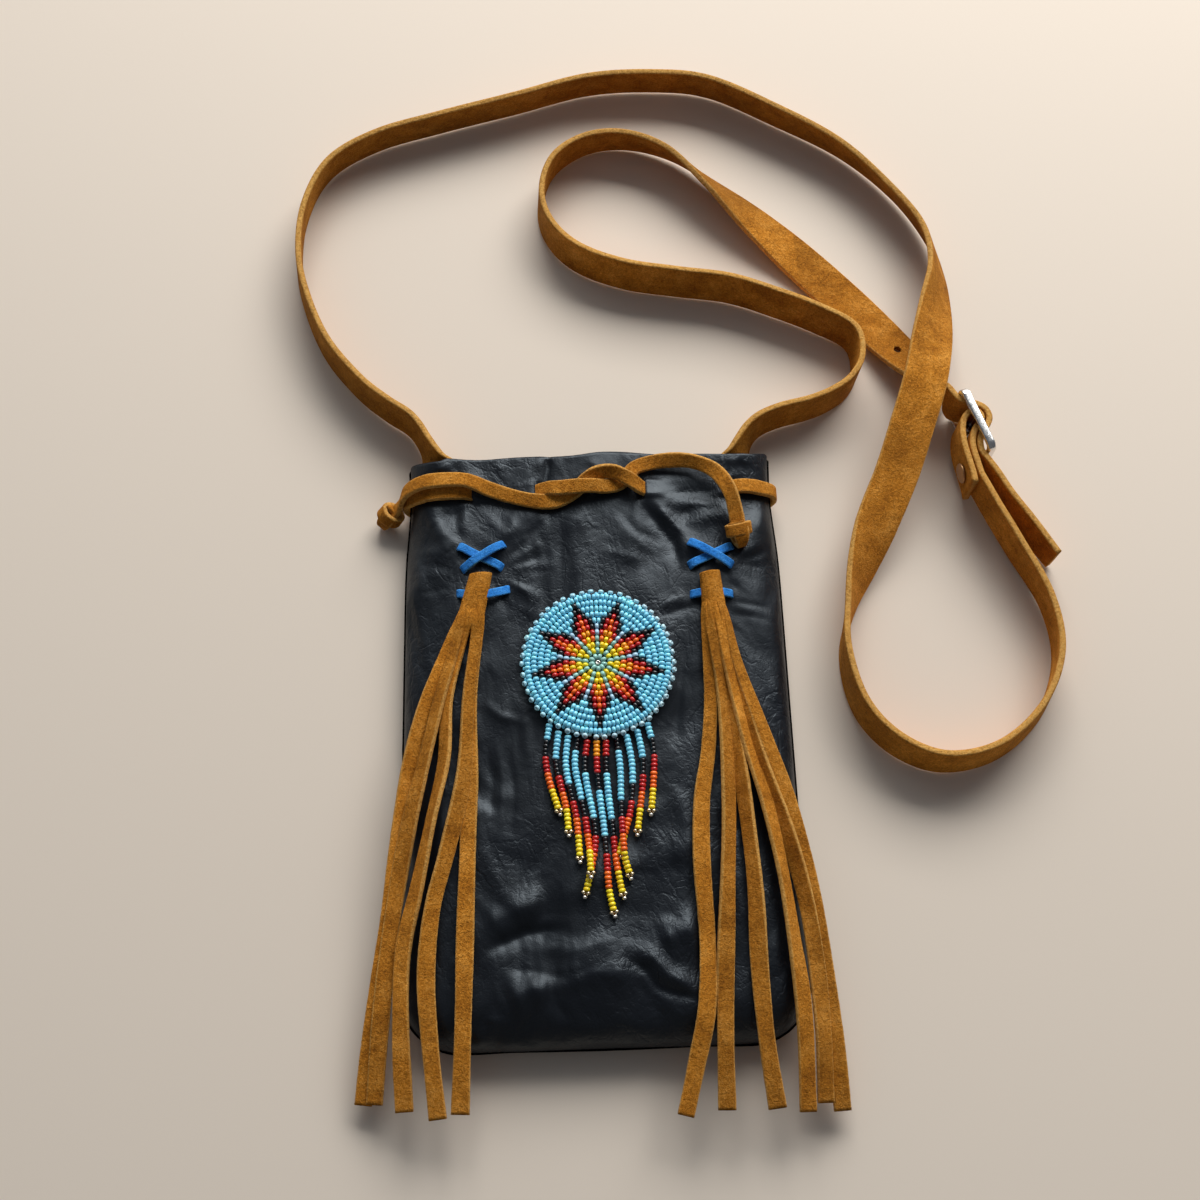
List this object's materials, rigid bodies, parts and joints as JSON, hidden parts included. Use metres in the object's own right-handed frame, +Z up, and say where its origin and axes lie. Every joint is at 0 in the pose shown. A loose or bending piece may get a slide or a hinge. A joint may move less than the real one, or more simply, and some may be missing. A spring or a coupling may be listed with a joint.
{
  "type": "beaded phone pouch",
  "caption": "Black leather pouch with a beaded star rosette and bead dangles, suede fringe tassels, a drawstring neck and a buckled suede shoulder strap.",
  "frame": {"origin": "middle of the back panel's outside, on the table", "axes": "+Z up through the front, +Y towards the mouth, +X to the right seen from the front"},
  "size_m": [0.2198, 0.3164, 0.0207],
  "materials": {
    "black_leather": "soft, semi-gloss",
    "tan_suede": "napped suede",
    "blue_leather": "smooth satin",
    "glass_beads": "glossy opaque glass",
    "nickel": "polished",
    "copper": "satin"
  },
  "bodies": {
    "root": {"back_panel": "black_leather", "front_panel": "black_leather", "drawstring": "tan_suede", "cross_lace_left": "blue_leather", "cross_lace_right": "blue_leather", "tassel_left": "tan_suede", "tassel_right": "tan_suede", "rosette": "glass_beads", "bead_strand_01": "glass_beads", "bead_strand_02": "glass_beads", "bead_strand_03": "glass_beads", "bead_strand_04": "glass_beads", "bead_strand_05": "glass_beads", "bead_strand_06": "glass_beads", "bead_strand_07": "glass_beads", "bead_strand_08": "glass_beads", "bead_strand_09": "glass_beads", "bead_strand_10": "glass_beads", "bead_strand_11": "glass_beads", "strap_left": "tan_suede", "strap_right": "tan_suede", "buckle_frame": "nickel", "buckle_prong": "nickel", "strap_rivet": "copper"}
  },
  "joints": []
}
